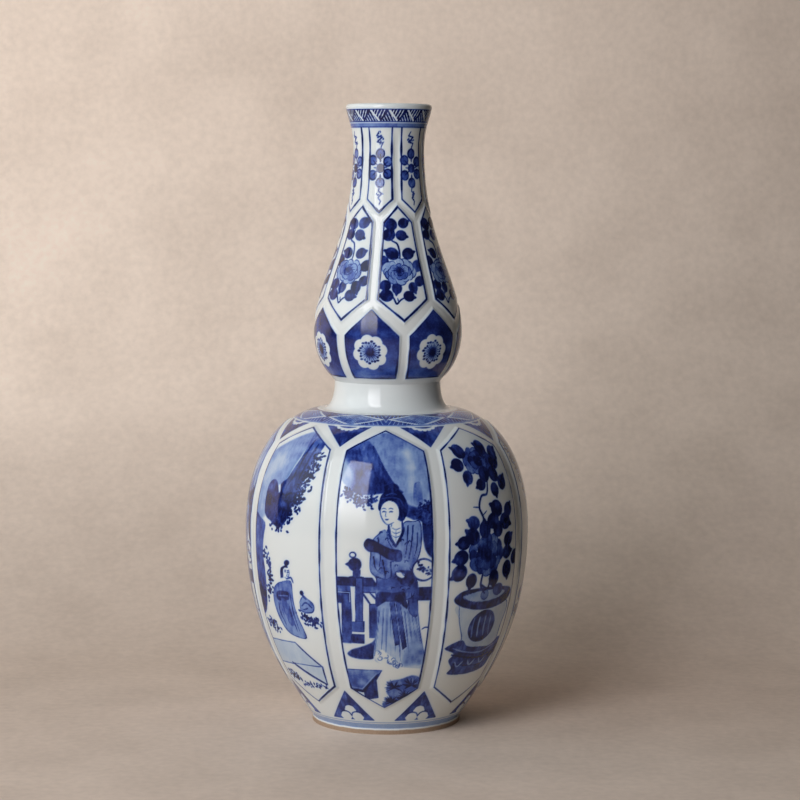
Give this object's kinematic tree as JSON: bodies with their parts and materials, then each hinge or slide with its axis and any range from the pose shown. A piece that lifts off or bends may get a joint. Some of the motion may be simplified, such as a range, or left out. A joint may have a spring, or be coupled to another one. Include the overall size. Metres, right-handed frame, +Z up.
{
  "type": "double gourd vase",
  "caption": "Double gourd vase of blue and white porcelain with a tall neck, a flared lip, a plain waist and moulded panels, standing on an unglazed foot ring.",
  "frame": {"origin": "centre of the foot on the surface that the vase stands on", "axes": "+Z up along the axis of the vase, -Y towards the viewer of the front panel, +X to the viewer's right"},
  "size_m": [0.124, 0.124, 0.27],
  "materials": {
    "porcelain": "glossy blue-tinged white glaze over cobalt painting",
    "biscuit": "unglazed, fired buff",
    "slip": "fired porcelain slip, glazed over outside"
  },
  "bodies": {
    "root": {"foot_ring": "biscuit", "foot_slip": "slip", "floor_disc": "porcelain", "floor_slip": "slip", "lower_bulb_bottom": "porcelain", "belly_slip": "slip", "lower_bulb_top": "porcelain", "shoulder_slip": "slip", "waist_collar": "porcelain", "waist_slip": "slip", "upper_bulb": "porcelain", "neck_slip": "slip", "neck": "porcelain"}
  },
  "joints": []
}
